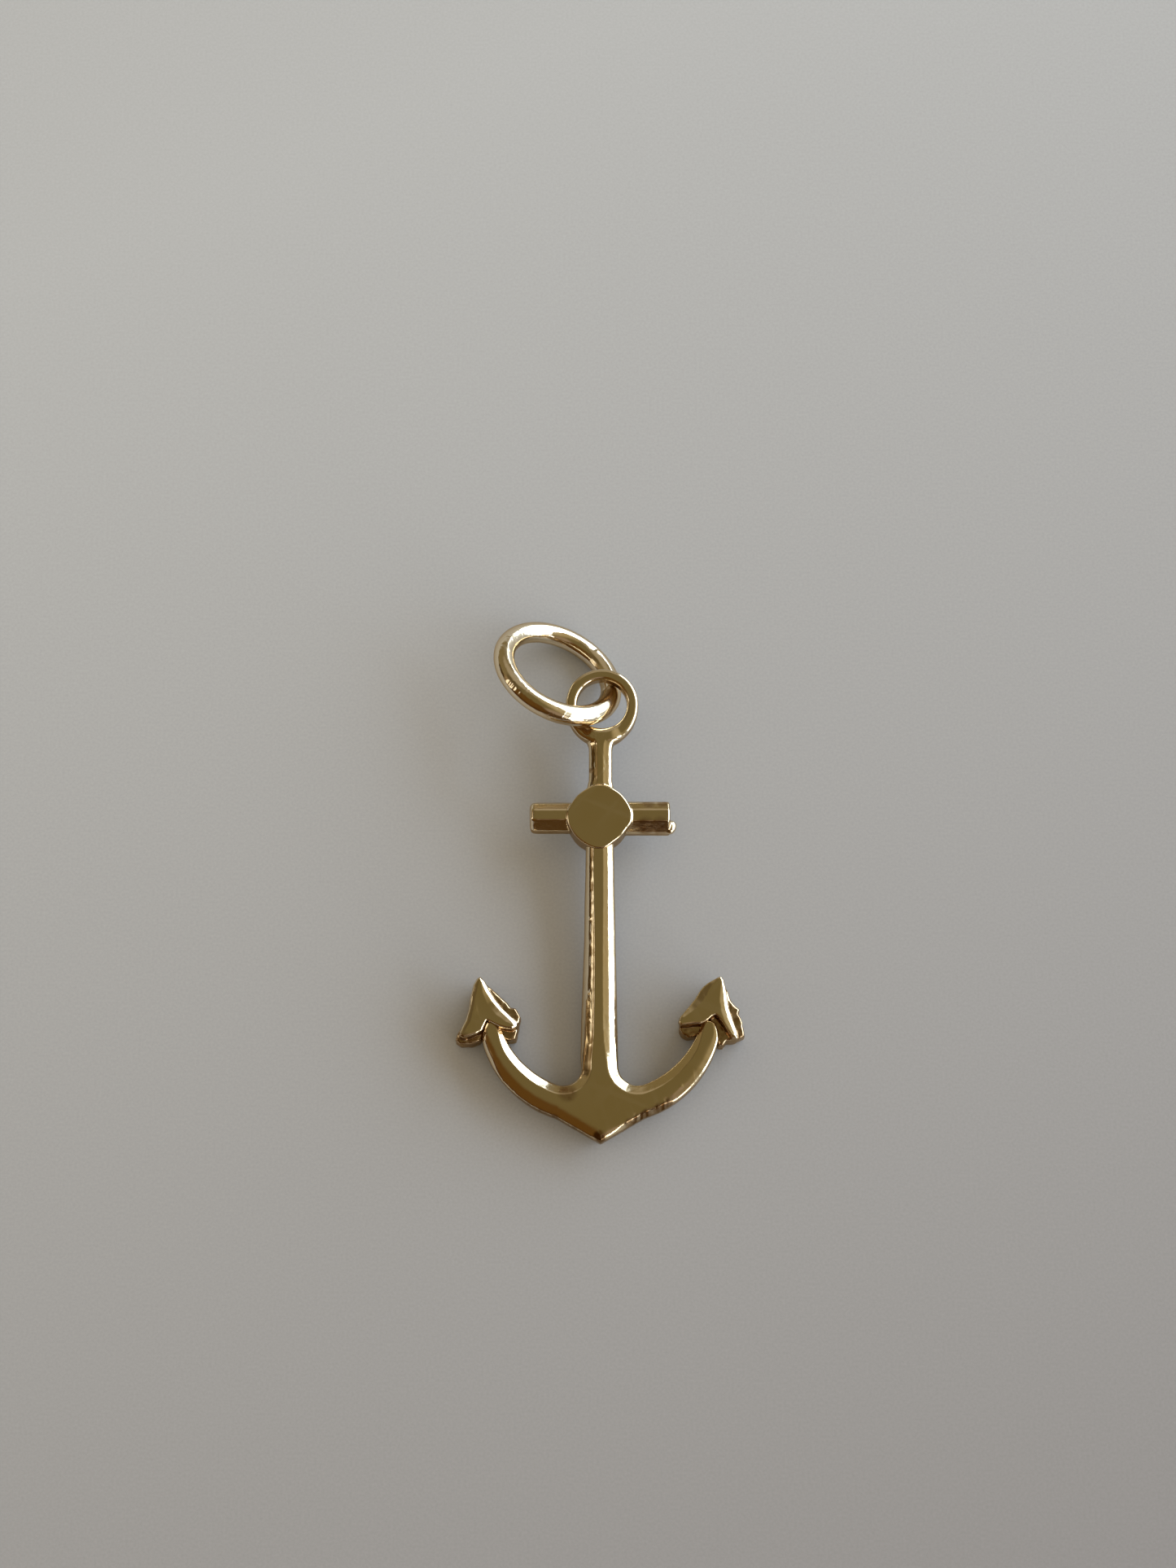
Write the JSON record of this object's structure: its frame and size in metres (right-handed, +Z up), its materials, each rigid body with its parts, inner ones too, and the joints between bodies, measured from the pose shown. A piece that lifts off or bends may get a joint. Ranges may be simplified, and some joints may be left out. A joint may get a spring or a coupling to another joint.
{
  "type": "anchor pendant",
  "caption": "Small cast anchor charm with a straight shank, a disc over the crossbar, curved arms with arrowhead flukes, and a top eye that carries a loose round jump ring.",
  "frame": {"origin": "on the surface, under the middle of the pendant's bounding box", "axes": "+X to the right along the stock, +Y from the crown toward the eye, +Z up from the surface that the pendant lies on"},
  "size_m": [0.012, 0.0224, 0.0039],
  "materials": {
    "cast_gold": "polished",
    "wire_gold": "polished"
  },
  "bodies": {
    "root": {"anchor": "cast_gold", "jump_ring": "wire_gold"}
  },
  "joints": []
}
